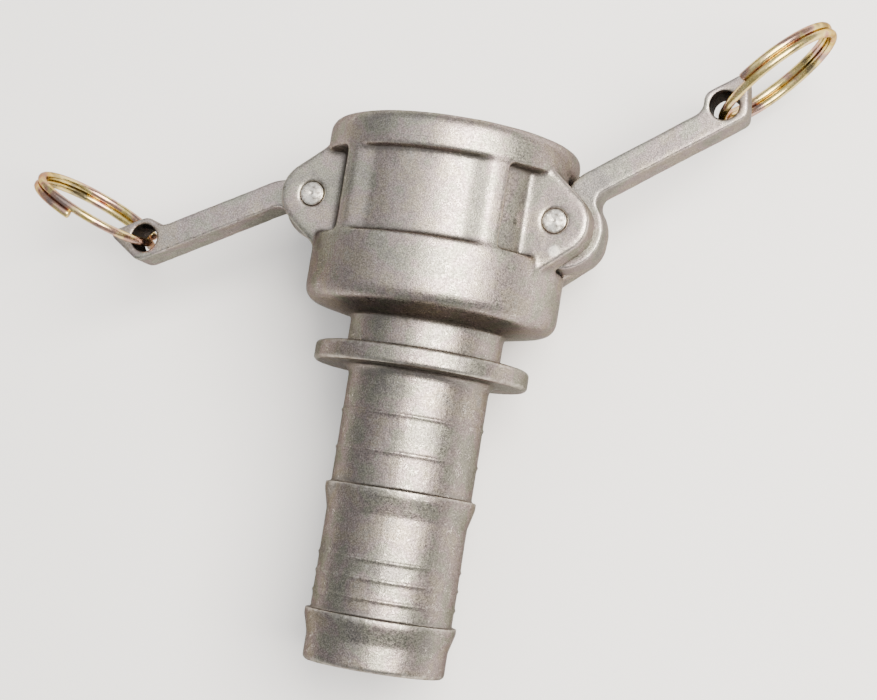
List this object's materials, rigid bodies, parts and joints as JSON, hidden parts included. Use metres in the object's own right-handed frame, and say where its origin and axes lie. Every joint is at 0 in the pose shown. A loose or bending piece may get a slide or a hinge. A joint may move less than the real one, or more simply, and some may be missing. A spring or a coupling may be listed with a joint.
{
  "type": "camlock coupling",
  "caption": "Hose-shank cam-and-groove coupler: barbed shank, stop flange and bell socket with gasket, cam arms on pressed pins, and a split pull ring on each arm.",
  "frame": {"origin": "on the coupling axis, level with the two pivot pins, inside the socket bore", "axes": "+Y along the coupling axis towards the socket mouth, +Z along the pivot pins, +X from the left arm's pin to the right arm's pin"},
  "size_m": [0.2135, 0.184, 0.068],
  "materials": {
    "cast_stainless": "bead-blasted investment casting, satin",
    "cast_stainless_arm": "bead-blasted investment casting, satin",
    "pin_steel": "turned, staked ends",
    "ring_plating": "bright yellow chromate plating with an iridescent tint",
    "seal_rubber": "moulded black rubber"
  },
  "bodies": {
    "coupler": {"coupler_body": "cast_stainless", "gasket": "seal_rubber", "pivot_pin_right": "pin_steel", "pivot_pin_left": "pin_steel"},
    "arm_right": {"cam_arm_right": "cast_stainless_arm"},
    "arm_left": {"cam_arm_left": "cast_stainless_arm"},
    "ring_right": {"pull_ring_right": "ring_plating"},
    "ring_left": {"pull_ring_left": "ring_plating"}
  },
  "joints": [
    {"name": "arm_right_swing", "type": "hinge", "parent": "coupler", "child": "arm_right", "pos_m": [0.0332, 0, 0], "axis": [0, 0, 1], "range_deg": [-124.5, 0]},
    {"name": "arm_left_swing", "type": "hinge", "parent": "coupler", "child": "arm_left", "pos_m": [-0.0332, 0, 0], "axis": [0, 0, -1], "range_deg": [-62.4, 62.1]},
    {"name": "ring_right_swing", "type": "hinge", "parent": "arm_right", "child": "ring_right", "pos_m": [0.07079, 0.03694, 0], "axis": [0, 0, 1], "range_deg": [-38, 140]},
    {"name": "ring_left_swing", "type": "hinge", "parent": "arm_left", "child": "ring_left", "pos_m": [-0.08343, -0.01594, 0], "axis": [0, 0, -1], "range_deg": [-81.5, 96.5]}
  ]
}
